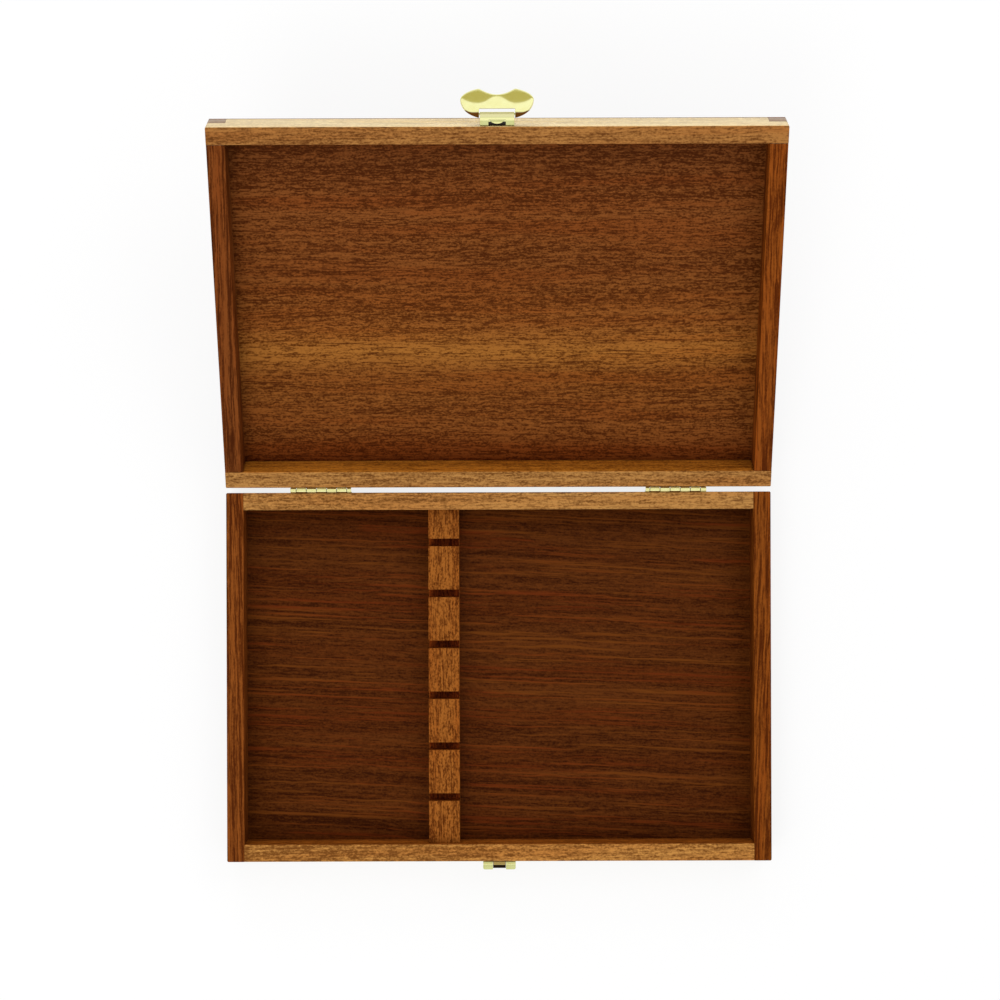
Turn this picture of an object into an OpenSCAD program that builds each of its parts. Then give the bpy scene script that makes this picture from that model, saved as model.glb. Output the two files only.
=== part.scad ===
// Wooden cutlery box: finger-jointed base and lid frames, glued-on panels, a slotted knife rack,
// two surface-mounted butt hinges and a tilting flap latch. Millimetres, Z up.
// The origin is the centre of the base's underside. X runs along the width, and the hinges are
// on the +Y side. The lid is drawn closed and then turned open about the hinge axis.

/* [Case] */
// Outside width of the base and the lid
case_w = 270; // [240:1:320]
// Outside depth of the base and the lid, front face to back face
case_d = 183; // [160:1:230]
// Thickness of the frame rails
rail_t = 8.6; // [7:0.1:12]
// Height of the base's frame rails
base_rail_h = 16.5; // [15:0.5:40]
// Thickness of the base's bottom panel
base_panel_t = 4; // [3:0.5:8]
// Height of the lid's frame rails
lid_rail_h = 14; // [13:0.5:40]
// Thickness of the lid's top panel
lid_panel_t = 2.5; // [2.5:0.5:8]
// Radius sanded on the rim edges of the rails
rim_edge_r = 0.5; // [0.2:0.1:1.5]
// Radius sanded on the upright corners of the case
corner_r = 0.8; // [0.3:0.1:2]
// Radius routed round the outer edge of both panels
panel_edge_r = 2; // [0.5:0.1:2.4]
// Gap between the two rims when the lid is shut
rim_gap = 0.2; // [0.1:0.05:0.5]
// Angle that the lid has opened from shut
lid_open_angle = 155.3; // [150:0.1:160]

/* [Knife rack] */
// Width of the rack, across the knives' slots
rack_w = 15.3; // [10:0.1:25]
// Height of the rack above the bottom panel
rack_h = 12; // [9:0.5:14]
// Distance of the rack's middle from the middle of the case, to the left
rack_offset = 27.3; // [0:0.1:60]
// Number of knife slots
slot_count = 6; // [2:1:8]
// Width of one slot
slot_w = 3.8; // [2:0.1:6]
// Height of the wood left under the slots
slot_floor = 3; // [2:0.5:6]
// Distance from the back rail to the middle of the first slot
slot_start = 16.3; // [8:0.1:30]
// Distance from the front rail to the middle of the last slot
slot_end = 22.7; // [8:0.1:30]

/* [Hinges] */
// Distance from the case's side to the near end of each hinge
hinge_inset = 32; // [20:1:70]
// Width of one hinge
hinge_w = 30; // [28:1:36]
// Reach of each leaf from the hinge axis
leaf_h = 8; // [7:0.5:11]
// Radius of the leaves' outer corners
leaf_corner_r = 0.8; // [0.3:0.1:1.5]
// Thickness of the hinge leaves
leaf_t = 0.6; // [0.4:0.05:0.8]
// Radius of the hinge pin
hinge_pin_r = 0.5; // [0.4:0.05:0.6]
// Radius of the rolled knuckles
knuckle_r = 1.1; // [1:0.05:1.3]
// Number of knuckles on one hinge, an odd number
knuckle_count = 7; // [5:2:7]
// Length of the knuckle at the end towards the case's side
knuckle_outer = 2.9; // [2:0.1:4]
// Length of the knuckle at the other end
knuckle_inner = 2.1; // [2:0.1:4]
// Air between neighbouring knuckles
knuckle_gap = 0.35; // [0.1:0.05:0.5]
// Air between the knuckles and the wood behind them
knuckle_air = 0.1; // [0.05:0.05:0.4]
// Radial play of the pin in the knuckles
pin_play = 0.05; // [0.02:0.01:0.08]
// Distance of the hinge nails from the hinge axis
hinge_nail_reach = 4.2; // [3.8:0.1:5]
// Distance from each end of a leaf to the nearest nail
hinge_nail_inset = 6; // [4:0.5:9]
// Air left between the nail heads that stop the lid
stop_gap = 0.1; // [0.05:0.05:0.3]

/* [Latch] */
// Width of the latch bracket and of its barrel
bracket_w = 15.9; // [14:0.1:20]
// Height of the bracket's plate on the lid
bracket_h = 11; // [9:0.5:13]
// Thickness of the sheet in the bracket and the keeper
latch_sheet_t = 0.55; // [0.4:0.05:0.6]
// Inner radius of the bends in that sheet
bend_r = 0.5; // [0.3:0.05:0.8]
// Radius of the outer corners of the bracket's and the keeper's plates
plate_corner_r = 1; // [0.3:0.1:2]
// Air between the barrel and the front of the keeper, measured out of the case
barrel_air = 0.45; // [0.1:0.05:0.8]
// Radius of the flap's pivot bar, slimmer than the flap's sheet
pivot_bar_r = 0.45; // [0.35:0.01:0.48]
// Radial play of the bar in the bracket's barrel
pivot_play = 0.05; // [0.02:0.01:0.08]
// Width of the opening between the bracket's legs
leg_opening_w = 8; // [6:0.1:9]
// Length of the bracket's legs, out from the case
leg_reach = 3.1; // [2.5:0.1:3.6]
// Air on each side of the tail in that opening
tail_side_air = 0.1; // [0.05:0.05:0.4]
// Air between the tail's round end and the bracket's plate
tail_air = 0.15; // [0.1:0.05:0.5]
// Radius of the tail's round end
tail_end_r = 4.4; // [4.4:0.1:8]
// Width of the flap
flap_w = 33.8; // [28:0.1:40]
// Thickness of the flap
flap_t = 1; // [0.95:0.05:1.2]
// Distance from the pivot to the flap's widest line
flap_middle = 7.7; // [7:0.1:8.5]
// Reach of the flap from its widest line to the finger lobes
flap_lobe_reach = 5.2; // [4.5:0.1:7]
// Reach of the flap from its widest line back past the pivot
flap_heel_reach = 11.6; // [10:0.1:13]
// Radius of the bow that is pressed into the flap
flap_bow_r = 10.25; // [10:0.05:12]
// How far the flap bows in towards the case
flap_bow = 1.6; // [1.3:0.05:1.7]
// Distance from the pivot to the bottom of the thumb notch
notch_reach = 10; // [9:0.1:11]
// Radius of the thumb notch
notch_r = 16.1; // [12:0.1:20]
// Air between the flap's window and the underside of the keeper's ears
hook_air = 1; // [0.3:0.05:1.3]
// Air on each side of the bracket in the flap's window
window_side_air = 0.25; // [0.15:0.05:0.5]
// Angle that the flap stands out from its latched position
flap_open_angle = 90; // [60:1:120]

/* [Keeper] */
// Width of the keeper
keeper_w = 16.1; // [14:0.1:16.2]
// Height of the keeper's plate on the base
keeper_h = 10; // [9:0.5:13]
// Distance that the keeper's ears stand out from the base
keeper_reach = 4; // [3.9:0.05:4.1]
// Width of the opening between the keeper's ears
ear_opening_w = 6.4; // [5:0.1:8]
// Air on each side of the tongue in that opening
tongue_side_air = 0.25; // [0.1:0.05:0.5]
// How far the tongue lies below the ears
tongue_drop = 0.7; // [0.6:0.05:1]
// Air between the tongue's nose and the latched flap
tongue_nose_air = 0.15; // [0.1:0.05:0.5]
// Radius of the ears' outer corners
ear_corner_r = 0.8; // [0.3:0.1:1.2]

/* [Nails] */
// Radius of the hinge nails' shanks
hinge_nail_r = 0.6; // [0.4:0.05:0.7]
// Length of the nails' shanks, hinge and latch alike
nail_length = 6; // [4:0.5:6.5]
// Length of the nails' points
nail_point = 1; // [0.5:0.1:2]
// Radius of the blunt tips of those points
nail_tip_r = 0.15; // [0.05:0.05:0.3]
// Radius of the latch nails' shanks
latch_nail_r = 0.5; // [0.4:0.05:0.6]
// Radius of the latch nails' heads
latch_head_r = 1.1; // [0.9:0.05:1.3]
// Height of the latch nails' heads
latch_head_h = 0.7; // [0.5:0.05:0.8]
// Distance between the two nails of the bracket, and of the keeper
latch_nail_spacing = 9; // [7:0.5:10]
// Distance of the latch nails from the rim beside them
latch_nail_reach = 7; // [6:0.5:7.5]
// Radial clearance of the holes in wood and brass round the nails
nail_fit = 0.03; // [0.02:0.01:0.08]

/* [Hidden] */
$fn = 48;
eps = 1;
oval_steps = 120;
wood_light = "#9d673c";
wood_dark = "#74441f";
wood_panel = "#5a3418";
brass = "#cdbf6a";

// Heights, from the underside of the base
rim_z = base_panel_t + base_rail_h;
lid_rim_z = rim_z + rim_gap;
lid_top_z = lid_rim_z + lid_rail_h;

// Inside depth of the frames, and the spacing of the knife slots along it
inner_d = case_d - 2 * rail_t;
slot_pitch = (inner_d - slot_start - slot_end) / (slot_count - 1);

// Distance of each hinge's middle from the middle of the case
hinge_offset = case_w / 2 - hinge_inset - hinge_w / 2;

// Distance between the two nails of one leaf
hinge_nail_spacing = hinge_w - 2 * hinge_nail_inset;

// Hinge axis, a little behind the back faces and midway between the rims
axis_out = knuckle_r + knuckle_air;
axis_y = case_d / 2 + axis_out;
axis_z = rim_z + rim_gap / 2;
hinge_bore_r = hinge_pin_r + pin_play;
knuckle_relief = knuckle_r + knuckle_air;
knuckle_pitch = (hinge_w - knuckle_outer - knuckle_inner) / (knuckle_count - 2);

// The round heads of facing hinge nails meet on the plane halfway between the open leaves
half_stop_angle = (180 - lid_open_angle) / 2;
hinge_head_r = hinge_nail_reach * sin(half_stop_angle)
    + (axis_out - leaf_t) * cos(half_stop_angle) - stop_gap / 2;

// Flap pivot with the lid shut, measured out from the case and up from the lid's rim
barrel_bore_r = pivot_bar_r + pivot_play;
barrel_r = barrel_bore_r + latch_sheet_t;
pivot_up = barrel_r;
pivot_reach = keeper_reach + barrel_air + barrel_r;
pivot_y = -case_d / 2 - pivot_reach;
pivot_z = lid_rim_z + pivot_up;
window_w = max(bracket_w, keeper_w) + 2 * window_side_air;
window_reach = pivot_up + rim_gap + latch_sheet_t + hook_air;
tail_w = leg_opening_w - 2 * tail_side_air;
tail_start = latch_sheet_t + tail_air;
bow_half_span = sqrt(2 * flap_bow_r * flap_bow - flap_bow * flap_bow);
bow_centre_out = flap_bow_r - flap_bow;

// Tongue of the keeper. Its nose is turned down, and the latched flap's inner face is nearest to
// the nose's lower end.
bend_out = bend_r + latch_sheet_t;
tongue_w = ear_opening_w - 2 * tongue_side_air;
nose_depth = pivot_z - rim_z + tongue_drop + bend_out;
tongue_reach = pivot_reach + bow_centre_out - tongue_nose_air
    - sqrt(pow(flap_bow_r + flap_t / 2, 2) - pow(bow_half_span - nose_depth, 2));

// Start of knuckle k along the hinge, from its outer end
function knuckle_start(k) =
    k == 0 ? 0 : (k == knuckle_count ? hinge_w : knuckle_outer + (k - 1) * knuckle_pitch);

// Outline of the flap: an oval whose two halves reach differently far
function flap_oval(steps) = [
    for (i = [0 : steps - 1])
        let (a = 360 * i / steps, reach = a < 180 ? flap_lobe_reach : flap_heel_reach)
            [flap_w / 2 * cos(a), flap_middle + reach * sin(a)]
];

// A shape drawn with the lid shut, turned to the open lid's place
module on_lid() {
    translate([0, axis_y, axis_z])
        rotate([-lid_open_angle, 0, 0])
            translate([0, -axis_y, -axis_z])
                children();
}

// A shape drawn with the flap latched, turned up about the flap's pivot
module on_flap() {
    translate([0, pivot_y, pivot_z])
        rotate([-flap_open_angle, 0, 0])
            children();
}

// A 2D profile in Y and Z, drawn out along X about x = 0
module along_x(length) {
    rotate([90, 0, 90])
        linear_extrude(height = length, center = true)
            children();
}

// A 2D profile in X and Z, drawn out along Y about y = 0
module along_y(length) {
    rotate([90, 0, 0])
        linear_extrude(height = length, center = true)
            children();
}

// A profile on the front face: its first axis points out of the case, its second one up
module on_front(length) {
    translate([0, -case_d / 2, 0])
        mirror([0, 1, 0])
            along_x(length)
                children();
}

// A profile on the back face: its first axis points out of the case, its second one up
module on_back(length) {
    translate([0, case_d / 2, 0])
        along_x(length)
            children();
}

// Rectangle with four round corners
module round_rectangle(w, d, r) {
    square([w - 2 * r, d], center = true);
    square([w, d - 2 * r], center = true);
    for (sx = [-1, 1], sy = [-1, 1])
        translate([sx * (w / 2 - r), sy * (d / 2 - r)])
            circle(r = r);
}

// Rectangle about x = 0 that stands on y = 0, with its two upper corners round
module round_top_rectangle(w, h, r) {
    translate([-w / 2, 0])
        square([w, h - r]);
    translate([-w / 2 + r, 0])
        square([w - 2 * r, h]);
    for (side = [-1, 1])
        translate([side * (w / 2 - r), h - r])
            circle(r = r);
}

// Solid of the case's outline, from z0 to z1
module case_prism(z0, z1) {
    translate([0, 0, z0])
        linear_extrude(height = z1 - z0)
            round_rectangle(case_w, case_d, corner_r);
}

// The part of a frame of height h in which one pair of rails gives way to the other pair's
// fingers: the half at the rim or the half at the panel
module finger_half(h, at_rim) {
    translate([0, 0, at_rim ? h / 2 : -eps])
        linear_extrude(height = h / 2 + eps)
            children();
}

// Rail along the front of a frame that stands on z = 0, with its rim on top
module front_rail(h, through_at_rim) {
    difference() {
        intersection() {
            translate([0, -case_d / 2 + rail_t / 2, 0])
                along_x(case_w)
                    round_top_rectangle(rail_t, h, rim_edge_r);
            case_prism(0, h);
        }
        finger_half(h, !through_at_rim)
            for (side = [-1, 1])
                translate([side * (case_w / 2 - rail_t / 2 + eps / 2), -case_d / 2 + rail_t / 2])
                    square([rail_t + eps, rail_t + 2 * eps], center = true);
    }
}

// Rail along the left of a frame that stands on z = 0, with its rim on top
module left_rail(h, through_at_rim) {
    difference() {
        intersection() {
            translate([-case_w / 2 + rail_t / 2, 0, 0])
                along_y(case_d)
                    round_top_rectangle(rail_t, h, rim_edge_r);
            case_prism(0, h);
        }
        finger_half(h, !through_at_rim)
            for (side = [-1, 1])
                translate([-case_w / 2 + rail_t / 2, side * (case_d / 2 - rail_t / 2 + eps / 2)])
                    square([rail_t + 2 * eps, rail_t + eps], center = true);
    }
}

// A frame drawn rim up on z = 0, set on the bottom panel
module in_base() {
    translate([0, 0, base_panel_t])
        children();
}

// A frame drawn rim up on z = 0, turned rim down under the lid's panel
module in_lid() {
    translate([0, 0, lid_top_z])
        mirror([0, 0, 1])
            children();
}

// Panel from z = 0 up to t, with its upper outer edges routed round
module panel(t) {
    intersection() {
        along_x(case_w)
            round_top_rectangle(case_d, t, panel_edge_r);
        along_y(case_d)
            round_top_rectangle(case_w, t, panel_edge_r);
        case_prism(0, t);
    }
}

// Shank of a nail that points down from z = 0
module nail_shank(r) {
    translate([0, 0, -nail_length + nail_point])
        cylinder(r = r, h = nail_length - nail_point);
    translate([0, 0, -nail_length])
        cylinder(r1 = nail_tip_r, r2 = r, h = nail_point);
}

// Domed head of radius r and height h that stands on z = 0
module nail_head(r, h) {
    dome_r = (r * r + h * h) / (2 * h);
    intersection() {
        translate([0, 0, h - dome_r])
            sphere(r = dome_r);
        cylinder(r = r, h = h);
    }
}

// Places of one hinge's nails on the back face: reach is up from the axis, or down if negative.
// The children's +Z points out of the case.
module at_hinge_nails(reach) {
    for (side = [-1, 1], nail = [-1, 1])
        translate([side * hinge_offset + nail * hinge_nail_spacing / 2, case_d / 2, axis_z + reach])
            rotate([-90, 0, 0])
                children();
}

// Places of the latch nails on the front face at the height z. The children's +Z points out.
module at_latch_nails(z) {
    for (nail = [-1, 1])
        translate([nail * latch_nail_spacing / 2, -case_d / 2, z])
            rotate([90, 0, 0])
                children();
}

// Cutter for the hole of a nail whose head stands on z = 0
module nail_hole(r) {
    translate([0, 0, -nail_length - nail_fit])
        cylinder(r = r + nail_fit, h = nail_length + nail_fit + eps);
}

module base_front_rail() {
    color(wood_light)
        difference() {
            in_base()
                front_rail(base_rail_h, false);
            at_latch_nails(rim_z - latch_nail_reach)
                nail_hole(latch_nail_r);
        }
}

module base_back_rail() {
    color(wood_light)
        difference() {
            in_base()
                mirror([0, 1, 0])
                    front_rail(base_rail_h, false);
            at_hinge_nails(-hinge_nail_reach)
                nail_hole(hinge_nail_r);
        }
}

module base_left_rail() {
    color(wood_dark)
        in_base()
            left_rail(base_rail_h, true);
}

module base_right_rail() {
    color(wood_dark)
        mirror([1, 0, 0])
            in_base()
                left_rail(base_rail_h, true);
}

module base_panel() {
    color(wood_panel)
        translate([0, 0, base_panel_t])
            mirror([0, 0, 1])
                panel(base_panel_t);
}

// The slots are sawn across the rack, open at the top and at both sides
module knife_rack() {
    color(wood_light)
        translate([-rack_offset, 0, base_panel_t])
            difference() {
                translate([-rack_w / 2, -inner_d / 2, 0])
                    cube([rack_w, inner_d, rack_h]);
                for (i = [0 : slot_count - 1])
                    translate([0, inner_d / 2 - slot_start - i * slot_pitch, rack_h])
                        cube([rack_w + 2 * eps, slot_w, 2 * (rack_h - slot_floor)], center = true);
            }
}

module lid_front_rail() {
    color(wood_light)
        on_lid()
            difference() {
                in_lid()
                    front_rail(lid_rail_h, true);
                at_latch_nails(lid_rim_z + latch_nail_reach)
                    nail_hole(latch_nail_r);
            }
}

module lid_back_rail() {
    color(wood_light)
        on_lid()
            difference() {
                in_lid()
                    mirror([0, 1, 0])
                        front_rail(lid_rail_h, true);
                at_hinge_nails(hinge_nail_reach)
                    nail_hole(hinge_nail_r);
            }
}

module lid_left_rail() {
    color(wood_dark)
        on_lid()
            in_lid()
                left_rail(lid_rail_h, false);
}

module lid_right_rail() {
    color(wood_dark)
        on_lid()
            mirror([1, 0, 0])
                in_lid()
                    left_rail(lid_rail_h, false);
}

module lid_panel() {
    color(wood_panel)
        on_lid()
            translate([0, 0, lid_top_z])
                panel(lid_panel_t);
}

// Section of a rolled leaf that hangs down the back face from the axis at height 0: the plate
// lies on the wood, and its top is rolled into the knuckles
module leaf_section() {
    difference() {
        union() {
            translate([0, -leaf_h])
                square([leaf_t, leaf_h]);
            translate([axis_out, 0])
                circle(r = knuckle_r);
        }
        translate([axis_out, 0])
            circle(r = hinge_bore_r);
    }
}

// One leaf of a hinge whose outer end is at x = 0, hanging down. It keeps the even or the odd
// knuckles, and gives way to the other leaf's.
module leaf(kept) {
    difference() {
        intersection() {
            translate([hinge_w / 2, 0, axis_z])
                on_back(hinge_w)
                    leaf_section();
            translate([hinge_w / 2, case_d / 2 - eps, axis_z])
                rotate([-90, 0, 0])
                    linear_extrude(height = axis_out + knuckle_r + 2 * eps) {
                        round_top_rectangle(hinge_w, leaf_h, leaf_corner_r);
                        translate([-hinge_w / 2, -knuckle_r - eps])
                            square([hinge_w, knuckle_r + 2 * eps]);
                    }
        }
        for (k = [0 : knuckle_count - 1])
            if (k % 2 != kept)
                translate([knuckle_start(k) - knuckle_gap / 2, case_d / 2 - eps, axis_z - knuckle_relief])
                    cube([
                        knuckle_start(k + 1) - knuckle_start(k) + knuckle_gap,
                        axis_out + knuckle_r + 2 * eps,
                        knuckle_relief + knuckle_r + eps
                    ]);
    }
}

// Moves a hinge drawn from x = 0 inwards to its place: side -1 is the left one
module at_hinge(side) {
    mirror([side > 0 ? 1 : 0, 0, 0])
        translate([-hinge_offset - hinge_w / 2, 0, 0])
            children();
}

module base_leaf(side) {
    color(brass)
        difference() {
            at_hinge(side)
                leaf(0);
            at_hinge_nails(-hinge_nail_reach)
                nail_hole(hinge_nail_r);
        }
}

module lid_leaf(side) {
    color(brass)
        on_lid()
            difference() {
                translate([0, 0, 2 * axis_z])
                    mirror([0, 0, 1])
                        at_hinge(side)
                            leaf(1);
                at_hinge_nails(hinge_nail_reach)
                    nail_hole(hinge_nail_r);
            }
}

module hinge_pin(side) {
    color(brass)
        at_hinge(side)
            translate([0, axis_y, axis_z])
                rotate([0, 90, 0])
                    cylinder(r = hinge_pin_r, h = hinge_w);
}

// A hinge nail whose round head stands on the leaf
module hinge_nail() {
    nail_shank(hinge_nail_r);
    cylinder(r = hinge_nail_r, h = leaf_t);
    translate([0, 0, leaf_t])
        nail_head(hinge_head_r, hinge_head_r);
}

module hinge_nails_base() {
    color(brass)
        at_hinge_nails(-hinge_nail_reach)
            hinge_nail();
}

module hinge_nails_lid() {
    color(brass)
        on_lid()
            at_hinge_nails(hinge_nail_reach)
                hinge_nail();
}

// A latch nail whose flat domed head stands on the latch's sheet
module latch_nail() {
    nail_shank(latch_nail_r);
    cylinder(r = latch_nail_r, h = latch_sheet_t);
    translate([0, 0, latch_sheet_t])
        nail_head(latch_head_r, latch_head_h);
}

module latch_nails_lid() {
    color(brass)
        on_lid()
            at_latch_nails(lid_rim_z + latch_nail_reach)
                latch_nail();
}

module latch_nails_base() {
    color(brass)
        at_latch_nails(rim_z - latch_nail_reach)
            latch_nail();
}

// Section of a sheet that stands on the case up to h and turns out at the foot, to reach out:
// the first axis points out of the case, the second one up from the sheet's lower face
module angle_section(h, reach) {
    translate([0, bend_out])
        square([latch_sheet_t, h - bend_out]);
    translate([bend_out, 0])
        square([reach - bend_out, latch_sheet_t]);
    translate([bend_out, bend_out])
        bend_section(-1);
}

// Section of a quarter bend about 0, towards the case for side -1 and away from it for side 1
module bend_section(side) {
    intersection() {
        translate([side < 0 ? -bend_out : 0, -bend_out])
            square([bend_out, bend_out]);
        difference() {
            circle(r = bend_out);
            circle(r = bend_r);
        }
    }
}

// The same section as angle_section, but for a nose at its end that turns back towards h
module nose_section(h, reach) {
    angle_section(h, reach - bend_out);
    translate([reach - bend_out, bend_out])
        bend_section(1);
}

// An upright outline that stands out of the front face by reach: its first axis is X, its
// second one points up
module outline_on_front(reach) {
    translate([0, -case_d / 2, 0])
        rotate([90, 0, 0])
            linear_extrude(height = reach)
                children();
}

// A plan on the front face: its first axis is X, its second one points out of the case
module plan_on_front(z0, z1) {
    translate([0, -case_d / 2, z0])
        mirror([0, 1, 0])
            linear_extrude(height = z1 - z0)
                children();
}

// Bracket on the lid: a plate on the front face, two legs that stand out level with the rim,
// a barrel rolled round the flap's bar, and the tail of that sheet between the legs
module latch_bracket() {
    tail_z = lid_rim_z + 2 * barrel_r - latch_sheet_t;
    color(brass)
        on_lid()
            difference() {
                union() {
                    difference() {
                        intersection() {
                            translate([0, 0, lid_rim_z])
                                on_front(bracket_w)
                                    angle_section(bracket_h, pivot_reach);
                            outline_on_front(pivot_reach)
                                translate([0, lid_rim_z])
                                    round_top_rectangle(bracket_w, bracket_h, plate_corner_r);
                        }
                        plan_on_front(lid_rim_z - eps, lid_rim_z + bend_r + latch_sheet_t)
                            translate([-leg_opening_w / 2, -eps])
                                square([leg_opening_w, leg_reach + eps]);
                    }
                    on_front(bracket_w)
                        translate([pivot_reach, pivot_z])
                            circle(r = barrel_r);
                    intersection() {
                        plan_on_front(tail_z, tail_z + latch_sheet_t)
                            translate([-tail_w / 2, tail_start])
                                square([tail_w, pivot_reach - tail_start]);
                        plan_on_front(tail_z - eps, tail_z + latch_sheet_t + eps) {
                            translate([0, tail_start + tail_end_r])
                                circle(r = tail_end_r);
                            translate([-tail_w / 2, tail_start + tail_end_r])
                                square([tail_w, pivot_reach]);
                        }
                    }
                }
                on_front(bracket_w + 2 * eps)
                    translate([pivot_reach, pivot_z])
                        circle(r = barrel_bore_r);
                at_latch_nails(lid_rim_z + latch_nail_reach)
                    nail_hole(latch_nail_r);
            }
}

// The flap's sheet, bowed in towards the case: drawn latched, hanging down from the pivot at 0
module flap_sheet() {
    intersection() {
        translate([0, flap_bow_r, 0])
            rotate([90, 0, 0])
                linear_extrude(height = 2 * flap_bow_r)
                    mirror([0, 1])
                        difference() {
                            polygon(flap_oval(oval_steps));
                            translate([0, notch_reach + notch_r])
                                circle(r = notch_r);
                            translate([-window_w / 2, -flap_heel_reach])
                                square([window_w, flap_heel_reach + window_reach]);
                        }
        translate([0, -bow_centre_out, -bow_half_span])
            rotate([0, 90, 0])
                difference() {
                    cylinder(r = flap_bow_r + flap_t / 2, h = flap_w + 2 * eps, center = true);
                    cylinder(r = flap_bow_r - flap_t / 2, h = flap_w + 4 * eps, center = true);
                }
    }
}

module latch_flap() {
    color(brass)
        on_lid()
            on_flap() {
                flap_sheet();
                rotate([0, 90, 0])
                    cylinder(r = pivot_bar_r, h = window_w + 2 * pivot_bar_r, center = true);
            }
}

// Keeper on the base: a plate on the front face whose top turns out into two ears. A lower
// tongue with a nose turned down lies between them.
module latch_keeper() {
    color(brass)
        difference() {
            union() {
                difference() {
                    intersection() {
                        hanging_on_front(keeper_w, rim_z)
                            angle_section(keeper_h, keeper_reach);
                        plan_on_front(rim_z - keeper_h, rim_z)
                            round_top_rectangle(keeper_w, keeper_reach, ear_corner_r);
                        outline_on_front(keeper_reach)
                            translate([0, rim_z])
                                mirror([0, 1])
                                    round_top_rectangle(keeper_w, keeper_h, plate_corner_r);
                    }
                    plan_on_front(rim_z - tongue_drop - bend_out, rim_z + eps)
                        translate([-ear_opening_w / 2, -eps])
                            square([ear_opening_w, keeper_reach + 2 * eps]);
                }
                hanging_on_front(tongue_w, rim_z - tongue_drop)
                    nose_section(keeper_h - tongue_drop, tongue_reach);
            }
            at_latch_nails(rim_z - latch_nail_reach)
                nail_hole(latch_nail_r);
        }
}

// A section w wide on the front face, turned upside down so that it hangs from the height z
module hanging_on_front(w, z) {
    translate([0, 0, z])
        mirror([0, 0, 1])
            on_front(w)
                children();
}

base_front_rail();
base_back_rail();
base_left_rail();
base_right_rail();
base_panel();
knife_rack();
lid_front_rail();
lid_back_rail();
lid_left_rail();
lid_right_rail();
lid_panel();
base_leaf(-1);  // hinge_left_base_leaf
lid_leaf(-1);  // hinge_left_lid_leaf
hinge_pin(-1);  // hinge_left_pin
base_leaf(1);  // hinge_right_base_leaf
lid_leaf(1);  // hinge_right_lid_leaf
hinge_pin(1);  // hinge_right_pin
hinge_nails_base();
hinge_nails_lid();
latch_bracket();
latch_flap();
latch_keeper();
latch_nails_lid();
latch_nails_base();
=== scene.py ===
import math
import bmesh
import bpy
from mathutils import Matrix, Vector
from mathutils.geometry import delaunay_2d_cdt


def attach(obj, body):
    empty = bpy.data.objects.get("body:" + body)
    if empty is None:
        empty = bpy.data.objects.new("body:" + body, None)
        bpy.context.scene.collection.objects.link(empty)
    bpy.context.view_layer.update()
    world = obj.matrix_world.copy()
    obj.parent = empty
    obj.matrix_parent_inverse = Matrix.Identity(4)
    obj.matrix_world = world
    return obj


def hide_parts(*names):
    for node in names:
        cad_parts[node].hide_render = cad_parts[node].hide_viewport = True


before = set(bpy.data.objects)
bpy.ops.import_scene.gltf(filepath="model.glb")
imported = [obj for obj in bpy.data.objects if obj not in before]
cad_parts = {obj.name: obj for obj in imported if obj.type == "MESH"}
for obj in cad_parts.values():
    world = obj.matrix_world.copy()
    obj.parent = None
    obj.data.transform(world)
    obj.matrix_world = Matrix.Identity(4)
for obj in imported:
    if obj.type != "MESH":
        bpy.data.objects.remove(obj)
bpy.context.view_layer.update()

MM = 0.001

# Sizes that the dressed pieces share with the source, in millimetres and degrees
CASE_D, BASE_PANEL_T, BASE_RAIL_H, RIM_GAP = 183.0, 4.0, 16.5, 0.2
FRONT = -CASE_D / 2
RIM_Z = BASE_PANEL_T + BASE_RAIL_H
LID_RIM_Z = RIM_Z + RIM_GAP
AXIS_Y, AXIS_Z, LID_OPEN = 92.7, 20.6, 155.3
SHEET_T, BEND_R = 0.55, 0.5
KEEPER_REACH, BARREL_AIR, BAR_R, BAR_PLAY = 4.0, 0.45, 0.45, 0.05
BARREL_R = BAR_R + BAR_PLAY + SHEET_T
PIVOT_OUT = KEEPER_REACH + BARREL_AIR + BARREL_R
PIVOT_Z = LID_RIM_Z + BARREL_R

# Meshes: corners nearer than SAME_POINT are one, and rounds leave slivers up to SLIVER, in metres
SAME_POINT, SLIVER = 2e-7, 2e-6
# Degrees between faces: flat below the first, an edge to break above the second, and an edge that
# shows above the third or, on bent sheet, the fourth
FLAT_ANGLE, EDGE_ANGLE, SHOWN_ANGLE, SHEET_SHOWN_ANGLE = 0.3, 40, 50, 60


def new_object(name, data):
    obj = bpy.data.objects.new(name, data)
    bpy.context.scene.collection.objects.link(obj)
    return obj


def bake(obj):
    """Replaces the object's mesh by what its modifiers make of it."""
    bpy.context.view_layer.update()
    graph = bpy.context.evaluated_depsgraph_get()
    mesh = bpy.data.meshes.new_from_object(obj.evaluated_get(graph))
    old = obj.data
    obj.modifiers.clear()
    obj.data = mesh
    bpy.data.meshes.remove(old)


def smooth_by_angle(mesh, degrees):
    mesh.polygons.foreach_set("use_smooth", [True] * len(mesh.polygons))
    mesh.set_sharp_from_angle(angle=math.radians(degrees))
    mesh.update()


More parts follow.
